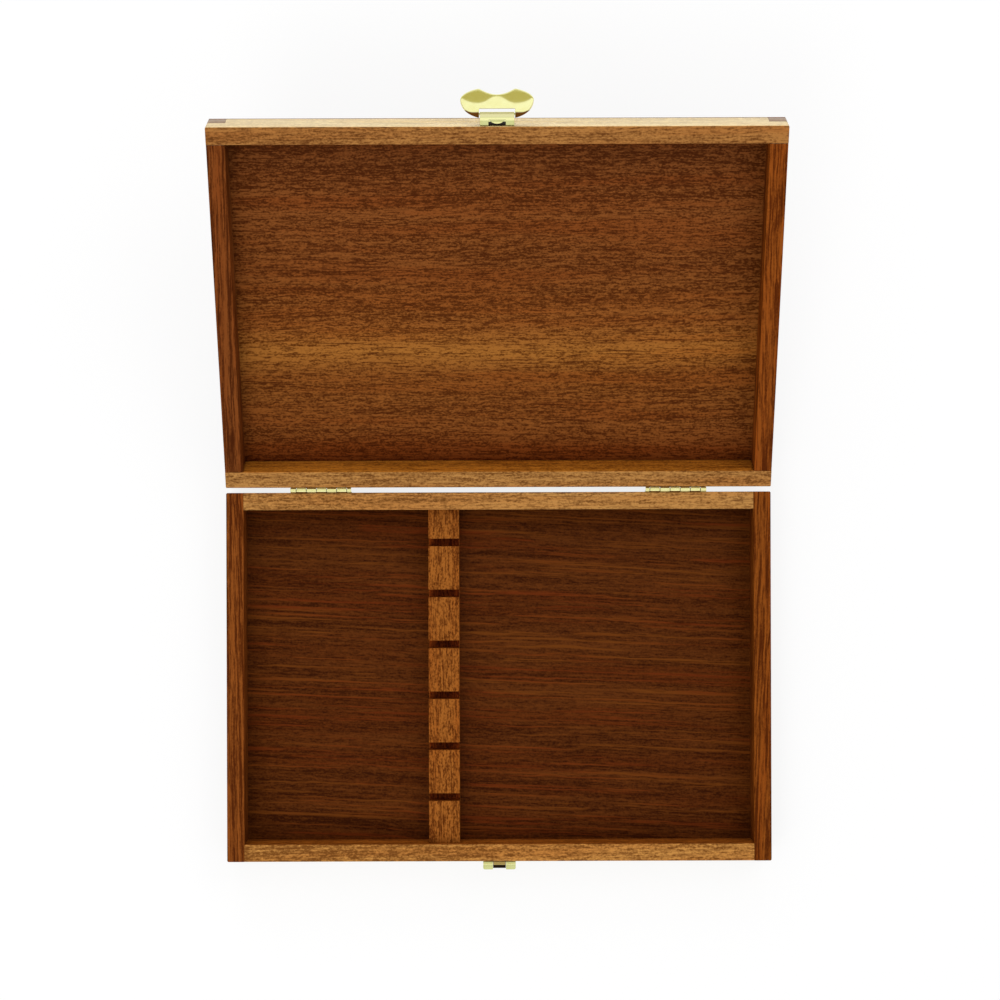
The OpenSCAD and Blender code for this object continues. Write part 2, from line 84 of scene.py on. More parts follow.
def eased_copy(node, width, weld=False):
    """A copy of a CAD node with its sharp edges broken by a small round. Welding takes out the
    slivers that rounds leave where they meet on rolled sheet."""
    bm = bmesh.new()
    bm.from_mesh(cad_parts[node].data)
    bmesh.ops.remove_doubles(bm, verts=bm.verts, dist=SAME_POINT)
    bmesh.ops.dissolve_limit(bm, angle_limit=math.radians(FLAT_ANGLE), verts=bm.verts, edges=bm.edges)
    mesh = bpy.data.meshes.new(node + "_dressed")
    bm.to_mesh(mesh)
    bm.free()
    obj = new_object(node + "_dressed", mesh)
    ease = obj.modifiers.new("ease", "BEVEL")
    ease.limit_method = "ANGLE"
    ease.angle_limit = math.radians(EDGE_ANGLE)
    ease.width = width * MM
    ease.segments = 2
    ease.use_clamp_overlap = True
    bake(obj)
    if weld:
        bm = bmesh.new()
        bm.from_mesh(obj.data)
        bmesh.ops.remove_doubles(bm, verts=bm.verts, dist=SLIVER)
        bmesh.ops.dissolve_degenerate(bm, dist=SLIVER, edges=bm.edges)
        bm.to_mesh(obj.data)
        bm.free()
    smooth_by_angle(obj.data, SHOWN_ANGLE)
    return obj


# Sheet metal: a flat pattern with round edges that is bent into place

# The step along an outline in millimetres, how often it is softened, and the pitch of the rows and
# the margin along the rim as shares of the grid that fills a face. Fill points nearer than
# KEPT_APART, in millimetres, are one
OUTLINE_STEP, OUTLINE_ROUNDS, ROW_PITCH, RIM_MARGIN = 0.14, 4, 0.87, 0.6
KEPT_APART = 1e-6


def resample(points, step):
    """The closed line through the points, with points at even distances."""
    size = len(points)
    lengths = [(points[(i + 1) % size] - points[i]).length for i in range(size)]
    total = sum(lengths)
    count = max(8, round(total / step))
    out, i, passed = [], 0, 0.0
    for k in range(count):
        target = total * k / count
        while passed + lengths[i] < target:
            passed += lengths[i]
            i += 1
        share = (target - passed) / lengths[i] if lengths[i] else 0
        out.append(points[i].lerp(points[(i + 1) % size], share))
    return out


def soften(points, rounds):
    for _ in range(rounds):
        size = len(points)
        points = [points[i] * 0.5 + (points[i - 1] + points[(i + 1) % size]) * 0.25
                  for i in range(size)]
    return points


def inset(points, distance):
    """The closed line moved to its left, which is inwards for an outer line that runs anticlockwise."""
    size, out = len(points), []
    for i in range(size):
        along = (points[(i + 1) % size] - points[i - 1]).normalized()
        out.append(points[i] + Vector((-along.y, along.x)) * distance)
    return out


def inside(point, loops):
    hit = False
    for loop in loops:
        for a, b in zip(loop, loop[1:] + loop[:1]):
            if (a.y > point.y) != (b.y > point.y):
                if point.x < a.x + (point.y - a.y) / (b.y - a.y) * (b.x - a.x):
                    hit = not hit
    return hit


def sheet_rims(bm, outlines, rims, place):
    """The round edges of a sheet. Returns each side's innermost points, one outline after another."""
    rings = {}
    for side in (1, -1):
        for k, (depth, height) in enumerate(rims):
            for n, line in enumerate(outlines):
                moved = inset(line, depth) if depth else line
                rings[side, k, n] = [bm.verts.new(place(p.x, p.y, side * height) * MM) for p in moved]
    last = len(rims) - 1
    for n, line in enumerate(outlines):
        size = len(line)
        for i in range(size):
            j = (i + 1) % size
            low, high = rings[-1, 0, n], rings[1, 0, n]
            bm.faces.new((low[i], low[j], high[j], high[i]))
            for side in (1, -1):
                for k in range(last):
                    a, b = rings[side, k, n], rings[side, k + 1, n]
                    quad = (a[i], a[j], b[j], b[i])
                    bm.faces.new(quad if side > 0 else quad[::-1])
    return {side: [v for n in range(len(outlines)) for v in rings[side, last, n]] for side in (1, -1)}


def grid_points(corners, fence, grid):
    """The points of a triangular grid that lie inside the fence."""
    lows = [min(p[c] for p in corners) for c in (0, 1)]
    highs = [max(p[c] for p in corners) for c in (0, 1)]
    columns, rows = (int((highs[c] - lows[c]) / grid) + 2 for c in (0, 1))
    spots = [Vector((lows[0] + (column + 0.5 * (row % 2)) * grid, lows[1] + row * grid * ROW_PITCH))
             for row in range(rows) for column in range(columns)]
    return [spot for spot in spots if inside(spot, fence)]


def sheet_piece(name, outlines, thick, edge_r, place, grid, arcs=3):
    """A piece of sheet metal with round edges. The outlines are closed lines on the flat pattern,
    anticlockwise outside and clockwise round holes. place(u, v, w) sets a point of the pattern,
    w out of its middle, in the row frame in millimetres."""
    outlines = [soften(resample([Vector(p) for p in line], OUTLINE_STEP), OUTLINE_ROUNDS)
                for line in outlines]
    half = thick / 2
    turns = [math.pi / 2 * k / arcs for k in range(arcs + 1)]
    rims = [(edge_r * (1 - math.cos(a)), half - edge_r + edge_r * math.sin(a)) for a in turns]
    bm = bmesh.new()
    rings = sheet_rims(bm, outlines, rims, place)

    rim_depth = rims[-1][0]
    inner = [inset(line, rim_depth) for line in outlines]
    corners = [p for line in inner for p in line]
    edges, start = [], 0
    for line in inner:
        size = len(line)
        edges += [(start + i, start + (i + 1) % size) for i in range(size)]
        start += size
    fence = [inset(line, rim_depth + grid * RIM_MARGIN) for line in outlines]
    filling = grid_points(corners, fence, grid)
    verts, _, faces, origins, _, _ = delaunay_2d_cdt(corners + filling, edges, [], 0, KEPT_APART)
    for side in (1, -1):
        made = []
        for vert, source in zip(verts, origins):
            on_rim = source and source[0] < len(corners)
            made.append(rings[side][source[0]] if on_rim
                        else bm.verts.new(place(vert.x, vert.y, side * half) * MM))
        for face in faces:
            middle = sum((verts[i] for i in face), Vector((0, 0))) / len(face)
            if inside(middle, inner):
                around = [made[i] for i in face]
                bm.faces.new(around if side > 0 else around[::-1])
    loose = [v for v in bm.verts if not v.link_faces]
    bmesh.ops.delete(bm, geom=loose, context="VERTS")
    bmesh.ops.recalc_face_normals(bm, faces=bm.faces)
    mesh = bpy.data.meshes.new(name)
    bm.to_mesh(mesh)
    bm.free()
    smooth_by_angle(mesh, SHEET_SHOWN_ANGLE)
    return new_object(name, mesh)


def bend_path(parts):
    """Place and direction along a bent sheet's middle line. The parts are ("line", length) or
    ("arc", radius, degrees, +1 to the left or -1 to the right); the path starts at (0, 0) and
    runs along +a. Returns a function of the distance and the total length."""
    spans, at, heading, total = [], Vector((0, 0)), 0.0, 0.0
    for part in parts:
        if part[0] == "line":
            spans.append((total, part[1], at.copy(), heading, None, 0))
            at += Vector((math.cos(heading), math.sin(heading))) * part[1]
            total += part[1]
        else:
            _, radius, degrees, way = part
            length = radius * math.radians(degrees)
            centre = at + Vector((-math.sin(heading), math.cos(heading))) * radius * way
            spans.append((total, length, centre, heading, radius, way))
            heading += way * math.radians(degrees)
            at = centre + Vector((math.sin(heading), -math.cos(heading))) * radius * way
            total += length

    def point(s, w):
        """The point s along the line and w to its left."""
        for begin, length, spot, turn, radius, way in spans:
            if s <= begin + length or (begin, length) == spans[-1][:2]:
                if radius is None:
                    along = Vector((math.cos(turn), math.sin(turn)))
                    return spot + along * (s - begin) + Vector((-along.y, along.x)) * w
                now = turn + way * (s - begin) / radius
                return spot + Vector((math.sin(now), -math.cos(now))) * (radius - way * w) * way
    return point, total


# Materials

def rgb(r, g, b):
    """An sRGB colour, 0 to 255, as the linear one that a shader takes."""
    def channel(value):
        value /= 255
        return value / 12.92 if value <= 0.04045 else ((value + 0.055) / 1.055) ** 2.4
    return (channel(r), channel(g), channel(b), 1.0)


def shade(tone, *factors):
    """The colour scaled channel by channel."""
    return tuple(min(1.0, c * f) for c, f in zip(tone, factors)) + (1.0,)


class Nodes:
    """Short ways to build the node tree of a material or a world."""

    def __init__(self, owner):
        owner.use_nodes = True
        self.owner, self.tree = owner, owner.node_tree
        self.tree.nodes.clear()

    def add(self, kind, inputs=None, **settings):
        node = self.tree.nodes.new(kind)
        for key, value in settings.items():
            setattr(node, key, value)
        for key, value in (inputs or {}).items():
            self.feed(node.inputs[key], value)
        return node

    def feed(self, socket, value):
        if isinstance(value, bpy.types.NodeSocket):
            self.tree.links.new(value, socket)
        else:
            socket.default_value = value

    def finish(self, shader, output="ShaderNodeOutputMaterial"):
        self.feed(self.add(output).inputs[0], shader)
        return self.owner

    def split(self, vector):
        return self.add("ShaderNodeSeparateXYZ", {"Vector": vector}).outputs

    def math(self, operation, a, b=0.0, c=0.0, clamp=False):
        node = self.add("ShaderNodeMath", operation=operation, use_clamp=clamp)
        for socket, value in zip(node.inputs, (a, b, c)):
            self.feed(socket, value)
        return node.outputs[0]

    def sway(self, value, weight, middle, clamp=False):
        """A value that swings round 0.5, scaled and made to swing round another middle."""
        return self.math("MULTIPLY_ADD", self.math("SUBTRACT", value, 0.5), weight, middle, clamp)

    def mapping(self, vector, location=(0, 0, 0), rotation=(0, 0, 0), scale=(1, 1, 1)):
        return self.add("ShaderNodeMapping", {
            "Vector": vector, "Location": location, "Rotation": rotation, "Scale": scale,
        }).outputs[0]

    def noise(self, vector, detail, roughness=0.5):
        return self.add("ShaderNodeTexNoise", {
            "Vector": vector, "Scale": 1.0, "Detail": detail, "Roughness": roughness, "Distortion": 0.0,
        }).outputs["Fac"]

    def openness(self, reach, samples):
        """How little stands round the point within the reach in millimetres."""
        return self.add("ShaderNodeAmbientOcclusion", {"Distance": reach * MM},
                        samples=samples).outputs["AO"]

    def ramp(self, value, *stops, interpolation="LINEAR"):
        """stops are (position, colour)."""
        node = self.add("ShaderNodeValToRGB", {"Fac": value})
        node.color_ramp.interpolation = interpolation
        elements = node.color_ramp.elements
        while len(elements) > 1:
            elements.remove(elements[-1])
        for n, (position, colour) in enumerate(stops):
            element = elements[0] if n == 0 else elements.new(position)
            element.position = position
            element.color = colour
        return node.outputs[0]

    def mix(self, factor, a, b, blend="MIX"):
        node = self.add("ShaderNodeMix", data_type="RGBA", blend_type=blend)
        self.feed(node.inputs[0], factor)
        self.feed(node.inputs[6], a)
        self.feed(node.inputs[7], b)
        return node.outputs[2]

    def range(self, value, low, high, out_low=0.0, out_high=1.0, kind="LINEAR"):
        return self.add("ShaderNodeMapRange", {
            "Value": value, "From Min": low, "From Max": high, "To Min": out_low, "To Max": out_high,
        }, interpolation_type=kind).outputs[0]

    def step(self, value, low, high, top=1.0):
        """0 at low, then smoothly up to the top at high."""
        return self.range(value, low, high, 0.0, top, "SMOOTHSTEP")


def closed_lid(n, vector, place=True):
    """A point or a direction on the open lid, turned to where it is with the lid shut."""
    flat = Matrix.Rotation(math.radians(LID_OPEN), 3, "X")
    hinge = Vector((0, AXIS_Y * MM, AXIS_Z * MM))
    return n.mapping(vector, hinge - flat @ hinge if place else (0, 0, 0), (math.radians(LID_OPEN), 0, 0))


# Layers of noise that make up the grain: start, scales per metre along and across the fibres,
# detail and roughness
GRAIN = {
    "drift": ((0, 0, 0), 9, 16, 1.0, 0.5),
    "ripple": ((0, 0, 0), 60, 120, 1.0, 0.5),
    "broad": ((0, 0, 0), 1.2, 30, 2.0, 0.55),
    "stripe": ((0.7, 0.2, 0.9), 4, 170, 3.0, 0.6),
    "line": ((1.3, 0.6, 0.1), 24, 620, 2.0, 0.6),
    "fibre": ((0.2, 1.1, 1.8), 220, 1100, 1.0, 0.6),
    "speck": ((2.2, 0.4, 0.5), 800, 1250, 1.0, 0.6),
    "warm": ((0.9, 2.1, 0.3), 6, 110, 3.0, 0.6),
    "thread": ((5.3, 2.9, 1.4), 10, 800, 2.0, 0.5),
    "dash": ((3.1, 1.7, 0.4), 120, 1350, 0.0, 0.5),
    "vessel": ((1.9, 0.3, 2.2), 34, 1200, 1.0, 0.5),
}
# How far, in metres, drift and ripple push the fibres aside, and where a seed of 1 starts the grain
DRIFT, RIPPLE, SEED_START = 0.0035, 0.0011, (0.37, 0.113, 0.071)
# Colours in the wood, as factors of its tone
DEEP, PALE, RED = (0.48, 0.38, 0.28), (1.46, 1.56, 1.75), (1.36, 1.05, 0.85)
# Of these, the last is painted shade near the wood's joints
PORE, END_GRAIN, JOINT_SHADE = (0.40, 0.28, 0.24), (0.44, 0.33, 0.26), (0.14, 0.08, 0.08)
PALE_THREAD, RED_THREAD = (1.9, 2.1, 1.9), (2.1, 1.5, 1.6)
# Painted shade on the walls of saw slots, a colour that multiplies the wood
SLOT_SHADE = (0.60, 0.28, 0.13, 1)
# The middle between deep and pale, and how strongly the layers swing round it
MIDDLE, BROAD, STRIPE, LINE, FINE = 0.52, 1.1, 1.2, 1.5, 2.2
# Where a layer's marks begin and where they are full, and how strong they get where that isn't 1
RED_PATCH, THREAD_LINE, THREAD_HUE = (0.44, 0.68, 0.5), (0.52, 0.66), (0.44, 0.58)
# The last of these is where painted shade near joints begins, where it is full, and how strong it gets
DASH_PORE, VESSEL_PORE, JOINT_SHADE_STEP = (0.62, 0.74, 0.8), (0.62, 0.72), (0.72, 0.40, 0.9)
# Shares of pores, end grain and a front face's painted highlight, and the coat on that face
PORE_SHARE, END_GRAIN_SHARE, FRONT_HIGHLIGHT_SHARE, FRONT_COAT = 0.75, 0.3, 0.6, 0.8
# How far the painted bands of light and shade across a board wave, in metres, and how soon the painted
# shade on a slot's walls gets dark
LIGHT_BAND_WAVE, SLOT_SHADE_POWER = 0.006, 0.4
WOOD_ROUGHNESS, PLATE_ROUGHNESS = 0.55, 0.14
# A surface belongs to a face from where its normal's share along that axis lies between these
ON_FACE = (0.6, 0.9)


def wood(name, tone, along="x", lid=False, seed=0.0, lean=0.0, band=1.0, streak=1.0, lines=1.0,
         close=1.0, fine=1.0, threads=0.0, pores=1.0, gloss=0.03, light_bands=None, outer=None, inner=None,
         slot_shade=None, joint_shade_reach=None):
    """Open-pored reddish hardwood. Its grain runs along one axis of the board, off it by a lean in
    degrees, and goes right through, so that the ends show end grain.

    band, streak, lines and fine weigh the layers from broad to fine, close packs the lines, and
    threads is the strength of long pale lines. bands paint light and shade across the board from
    front to back. outer is the share and the colour of a painted highlight on the front face. inner
    is the side, +1 or -1 along Y, and the colour factors of painted shade and bounce light on an
    inner face. pits are the heights, in millimetres, of the foot and mouth of saw slots whose walls
    get painted shade. grime is how far, in millimetres, painted shade reaches from a joint."""
    n = Nodes(bpy.data.materials.new(name))
    space = n.add("ShaderNodeTexCoord").outputs
    board, facing = space["Object"], space["Normal"]
    if lid:
        board, facing = closed_lid(n, board), closed_lid(n, facing, place=False)
    side = n.split(facing)
    turn = math.radians(lean) + (math.pi / 2 if along == "y" else 0)
    at = n.mapping(board, [seed * start for start in SEED_START], (0, 0, -turn))
    end = n.math("ABSOLUTE", n.split(n.mapping(facing, rotation=(0, 0, -turn)))["X"])

    def layer(kind, closer=1.0):
        start, lengthwise, across, detail, roughness = GRAIN[kind]
        across *= closer
        return n.noise(n.mapping(at, start, scale=(lengthwise, across, across)), detail, roughness)

    drift = layer("drift")
    shift = n.math("MULTIPLY_ADD", drift, DRIFT, n.math("MULTIPLY", layer("ripple"), RIPPLE))
    aside = n.add("ShaderNodeCombineXYZ", {"Y": shift, "Z": shift}).outputs[0]
    at = n.add("ShaderNodeVectorMath", {0: at, 1: aside}, operation="ADD").outputs[0]

    fibre, warm = layer("fibre"), layer("warm")
    level = n.sway(layer("broad"), BROAD * band, MIDDLE)
    level = n.sway(layer("stripe"), STRIPE * streak, level)
    level = n.sway(layer("line", close), LINE * lines, level)
    level = n.sway(fibre, FINE * fine, level)
    level = n.sway(layer("speck"), FINE * fine, level, clamp=True)
    deep = shade(tone, *DEEP)
    colour = n.mix(level, deep, shade(tone, *PALE))
    if threads:
        hue = n.mix(n.range(warm, *THREAD_HUE), shade(tone, *PALE_THREAD), shade(tone, *RED_THREAD))
        colour = n.mix(n.step(layer("thread"), *THREAD_LINE, threads), colour, hue)
    colour = n.mix(n.step(warm, *RED_PATCH), colour, n.mix(level, deep, shade(tone, *RED)))
    # Painted light and shade in bands across the board, from front to back
    if light_bands:
        across = n.sway(drift, LIGHT_BAND_WAVE, n.split(board)["Y"])
        strength = n.ramp(n.range(across, FRONT * MM, -FRONT * MM), *light_bands)
        colour = n.mix(1.0, colour, strength, "MULTIPLY")
    open_pores = n.math("MAXIMUM", n.step(layer("dash"), *DASH_PORE),
                        n.step(layer("vessel"), *VESSEL_PORE))
    colour = n.mix(n.math("MULTIPLY", open_pores, PORE_SHARE * pores), colour, shade(tone, *PORE))

    # End grain drinks more oil, front faces get a painted highlight, and painted shade darkens the wood
    # near joints
    end_share = n.math("MULTIPLY", n.step(end, *ON_FACE), END_GRAIN_SHARE)
    colour = n.mix(end_share, colour, shade(tone, *END_GRAIN))
    coat = 0.0
    # Painted highlight: the front face painted paler, as if lit from behind
    if outer:
        share, lit_colour = outer
        face = n.step(n.math("MULTIPLY", side["Y"], -1.0), *ON_FACE)
        lift = tuple(b / t for b, t in zip(lit_colour[:3], tone)) + (1.0,)
        highlighted = n.mix(FRONT_HIGHLIGHT_SHARE, n.mix(1.0, colour, lift, "MULTIPLY"), lit_colour)
        colour = n.mix(n.math("MULTIPLY", face, share), colour, highlighted)
        coat = n.math("MULTIPLY", face, FRONT_COAT)
    # Painted shade and bounce light on an inner face
    if inner:
        way, *factors = inner
        face = n.step(n.math("MULTIPLY", side["Y"], way), *ON_FACE)
        colour = n.mix(face, colour, n.mix(1.0, colour, (*factors, 1), "MULTIPLY"))
    # Painted shade near joints, such as the gap over the hinge barrels
    if joint_shade_reach:
        shaded = n.step(n.openness(joint_shade_reach, 6), *JOINT_SHADE_STEP)
        colour = n.mix(shaded, colour, shade(tone, *JOINT_SHADE))
    # Painted shade on slot walls, darker the deeper they go
    if slot_shade:
        foot, mouth = slot_shade
        depth = n.range(n.split(board)["Z"], foot * MM, mouth * MM, 1.0, 0.0)
        within = n.math("LESS_THAN", n.math("ABSOLUTE", side["X"]), 0.5)
        slot_shaded = n.mix(1.0, colour, SLOT_SHADE, "MULTIPLY")
        colour = n.mix(n.math("MULTIPLY", n.math("POWER", depth, SLOT_SHADE_POWER), within), colour, slot_shaded)

    roughness = n.math("MULTIPLY_ADD", open_pores, 0.15, n.sway(fibre, 0.25, WOOD_ROUGHNESS), clamp=True)
    relief = n.math("MULTIPLY_ADD", open_pores, -0.8, n.math("MULTIPLY", fibre, 0.5))
    bump = n.add("ShaderNodeBump", {"Height": relief, "Strength": 0.4, "Distance": 0.12 * MM})
    return n.finish(n.add("ShaderNodeBsdfPrincipled", {
        "Base Color": colour, "Roughness": roughness, "Normal": bump.outputs[0],
        "Specular IOR Level": gloss, "Coat Weight": coat, "Coat Roughness": 0.35,
    }).outputs[0])


# Black for tarnish and for painted shade, and the brown of the wood painted as a reflection
BLACK_TARNISH_AND_SHADE, WOOD_REFLECTION_BROWN = (0.012, 0.007, 0.003, 1), rgb(104, 62, 18)
# How a dull cloud changes the plate's tint, and where clouds begin and are full
DULL, CLOUD = (0.95, 0.93, 0.84), (0.35, 0.7)
# Where corners begin to get tarnished, where they are fully tarnished, and how much that is
NARROW = (0.75, 0.3, 0.92)
# The rim that gets a painted brown reflection of the wood, by its normal's share towards the front and its
# share upwards, from none to full
TO_FRONT, NOT_BELOW = (0.64, 0.78), (-0.40, -0.25)
# How blurred a patch's edge is, in millimetres to each side
PATCH_BLUR = 0.12


def plated(name, tint, dirt_reach=0.5, patches=(), lid=False, mirrors_wood=False):
    """Lacquered brass plate with a slightly uneven polish and its narrow corners tarnished. A patch
    is a box, in millimetres with the lid shut, and the colour painted in it as a highlight,
    reflection or shade, or None where shade is painted black. Where the plate mirrors the wood, its
    rim that faces the case has the wood's brown reflection painted on and is dull and dark."""
    n = Nodes(bpy.data.materials.new(name))
    space = n.add("ShaderNodeTexCoord").outputs
    at = space["Object"]
    cloud = n.noise(n.mapping(at, scale=(260, 260, 260)), 3.0, 0.55)
    grit = n.noise(n.mapping(at, scale=(5200, 5200, 5200)), 1.0)
    colour = n.mix(n.range(cloud, *CLOUD), tint, shade(tint, *DULL))
    tarnish_and_shade = n.step(n.openness(dirt_reach, 12), *NARROW)
    spot = n.split(closed_lid(n, at) if lid else at)
    for lowest, highest, patch in patches:
        within = 1.0
        for axis, low, high in zip("XYZ", lowest, highest):
            for edge, blur in ((low, PATCH_BLUR), (high, -PATCH_BLUR)):
                share = n.range(spot[axis], (edge - blur) * MM, (edge + blur) * MM)
                within = n.math("MULTIPLY", within, share)
        if patch:
            colour = n.mix(within, colour, patch)
        else:
            # Painted shade: a patch without colour goes black
            tarnish_and_shade = n.math("MAXIMUM", tarnish_and_shade, within)
    colour = n.mix(tarnish_and_shade, colour, BLACK_TARNISH_AND_SHADE)
    # Painted reflection of the brown wood on the rim that faces the case, made dull
    if mirrors_wood:
        facing = n.split(space["Normal"])
        wood_mirrored = n.step(n.math("MULTIPLY", facing["Y"], -1.0), *TO_FRONT)
        wood_mirrored = n.math("MULTIPLY", wood_mirrored, n.range(facing["Z"], *NOT_BELOW))
        colour = n.mix(wood_mirrored, colour, WOOD_REFLECTION_BROWN)
        tarnish_and_shade = n.math("MAXIMUM", tarnish_and_shade, n.math("MULTIPLY", wood_mirrored, 0.9))
    roughness = n.math("MULTIPLY_ADD", tarnish_and_shade, 0.4, n.sway(grit, 0.16, PLATE_ROUGHNESS))
    roughness = n.math("MULTIPLY_ADD", cloud, 0.08, roughness, clamp=True)
    bump = n.add("ShaderNodeBump", {"Height": grit, "Strength": 0.1, "Distance": 0.02 * MM})
    return n.finish(n.add("ShaderNodeBsdfPrincipled", {
        "Base Color": colour, "Roughness": roughness, "Normal": bump.outputs[0],
        "Metallic": n.math("SUBTRACT", 1.0, tarnish_and_shade, clamp=True), "Specular IOR Level": 0.02,
    }).outputs[0])


def dress(obj, body, material, node):
    obj.data.materials.clear()
    obj.data.materials.append(material)
    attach(obj, body)
    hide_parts(node)


# Wood: the lid's panel has a pool of light painted as a paler band across it, and painted shade darkest
# along the hinges

# Painted light and shade across the lid's panel, front to back: positions and colour factors
PANEL_LIGHT_AND_SHADE = (
    (0.03, (0.88, 0.91, 1.06, 1)), (0.22, (1.01, 1.04, 1.10, 1)), (0.42, (0.98, 1.02, 1.02, 1)),
    (0.56, (1.24, 1.36, 1.25, 1)), (0.64, (1.56, 1.95, 1.66, 1)), (0.70, (1.14, 1.26, 1.10, 1)),
    (0.86, (1.00, 1.04, 0.98, 1)), (0.96, (0.61, 0.43, 0.34, 1)),
)
# In these looks outer is a painted highlight on front faces, inner is painted shade and bounce light on
# inner faces, and grime and pits are painted shade
CROSS_RAIL = dict(gloss=0.06, pores=0.6, fine=0.9)
SIDE_RAIL = dict(along="y", streak=1.3, lines=3.2, close=1.5, fine=0.4, outer=(0.9, rgb(150, 122, 90)))
WOODS = {
    "base_front_rail": ("base", "wood_light", dict(
        CROSS_RAIL, tone=rgb(160, 108, 49), seed=1.0, lean=1.5, outer=(1.0, rgb(212, 185, 128)),
        inner=(1, 0.72, 0.46, 0.22))),
    "base_back_rail": ("base", "wood_light", dict(
        CROSS_RAIL, tone=rgb(156, 109, 54), seed=2.3, lean=-0.5, joint_shade_reach=2.0)),
    "base_left_rail": ("base", "wood_dark", dict(
        SIDE_RAIL, tone=rgb(113, 58, 17), seed=3.1, lean=1.0)),
    "base_right_rail": ("base", "wood_dark", dict(
        SIDE_RAIL, tone=rgb(113, 57, 13), seed=4.7, lean=-2.0)),
    "base_panel": ("base", "wood_panel", dict(
        tone=rgb(76, 36, 8), seed=5.2, lean=-2.5, band=0.6, fine=0.7, threads=0.9, pores=0.5)),
    "knife_rack": ("base", "wood_light", dict(
        tone=rgb(131, 74, 24), along="y", seed=6.4, fine=1.2, slot_shade=(5.0, 15.6))),
    "lid_front_rail": ("lid", "wood_light", dict(
        CROSS_RAIL, tone=rgb(146, 96, 45), seed=7.9, lean=-1.0, fine=0.85,
        outer=(1.0, rgb(214, 187, 129)))),
    "lid_back_rail": ("lid", "wood_light", dict(
        CROSS_RAIL, tone=rgb(154, 106, 52), seed=8.6, inner=(-1, 1.08, 0.80, 0.30), joint_shade_reach=2.0)),
    "lid_left_rail": ("lid", "wood_dark", dict(
        SIDE_RAIL, tone=rgb(106, 55, 19), seed=9.3, lean=1.5)),
    "lid_right_rail": ("lid", "wood_dark", dict(
        SIDE_RAIL, tone=rgb(119, 59, 14), seed=10.8, lean=-1.5)),
    "lid_panel": ("lid", "wood_panel", dict(
        tone=rgb(112, 60, 22), seed=11.5, band=0.7, fine=1.15, light_bands=PANEL_LIGHT_AND_SHADE)),
}
WOOD_EASE = 0.16
for node, (body, slot, looks) in WOODS.items():
    material = wood(node + "_wood", lid=body == "lid", **looks)
    dress(eased_copy(node, WOOD_EASE), body, material, node)

# Hinges and nails, with the width of the round on their edges in millimetres

BRASS, PLATE = rgb(252, 250, 184), rgb(212, 214, 150)
brass_sheet = plated("brass_sheet", BRASS, dirt_reach=0.8)
brass_round = plated("brass_round", BRASS)
METALS = {
    "hinge_left_base_leaf": ("base", brass_sheet, 0.11),
    "hinge_right_base_leaf": ("base", brass_sheet, 0.11),
    "hinge_left_lid_leaf": ("lid", brass_sheet, 0.12),
    "hinge_right_lid_leaf": ("lid", brass_sheet, 0.12),
    "hinge_left_pin": ("base", brass_round, 0.08),
    "hinge_right_pin": ("base", brass_round, 0.08),
    "hinge_nails_base": ("base", brass_round, 0.05),
    "hinge_nails_lid": ("lid", brass_round, 0.05),
    "latch_nails_lid": ("lid", brass_round, 0.05),
    "latch_nails_base": ("base", brass_round, 0.05),
}
for node, (body, material, ease) in METALS.items():
    dress(eased_copy(node, ease, weld=True), body, material, node)


# The latch is bent and pressed from sheet

# A bend's radius in the middle of the sheet and outside, and the length of a quarter bend
BEND_MIDDLE = BEND_R + SHEET_T / 2
BEND_OUT = BEND_R + SHEET_T
QUARTER = BEND_MIDDLE * math.pi / 2
# The slits beside the bracket's tail, the round of the sheet's edges, and the grid on its faces
SLIT, SHEET_EDGE_R, SHEET_GRID = 0.12, 0.14, 0.3
PLATE_CORNER_R, EAR_CORNER_R = 1.0, 0.8
# The nail holes' distance from the middle and from a plate's turned edge, and their radius
NAIL_SPREAD, NAIL_REACH, NAIL_HOLE = 4.5, 7.0, 0.55
# Straight steps in an arc, a corner, and the flap's notch and oval, and faces round its bar
ARC_STEPS, CORNER_STEPS, NOTCH_STEPS, OVAL_STEPS, BAR_FACES = 40, 8, 60, 160, 32

ON_LID_MM = (Matrix.Translation((0, AXIS_Y, AXIS_Z)) @ Matrix.Rotation(math.radians(-LID_OPEN), 4, "X")
             @ Matrix.Translation((0, -AXIS_Y, -AXIS_Z)))
FLAP_OPEN = (ON_LID_MM @ Matrix.Translation((0, FRONT - PIVOT_OUT, PIVOT_Z))
             @ Matrix.Rotation(math.radians(-90), 4, "X"))


def arc(u, v, radius, start, stop, steps=ARC_STEPS):
    turns = [math.radians(start + (stop - start) * k / steps) for k in range(steps + 1)]
    return [(u + radius * math.cos(a), v + radius * math.sin(a)) for a in turns]


def corner(u, v, radius, start):
    return arc(u, v, radius, start, start + 90, CORNER_STEPS)


def plate_foot(half):
    """The rounded corners at the foot of a plate, from the left one to the right one."""
    r = PLATE_CORNER_R
    return corner(-half + r, r, r, 180) + corner(half - r, r, r, 270)


def nail_holes(height):
    return [arc(u, height - NAIL_REACH, NAIL_HOLE, 0, -360)[:-1] for u in (-NAIL_SPREAD, NAIL_SPREAD)]


def on_front(u, out, z):
    """A point in front of the closed case, in millimetres."""
    return Vector((u, FRONT - out, z))


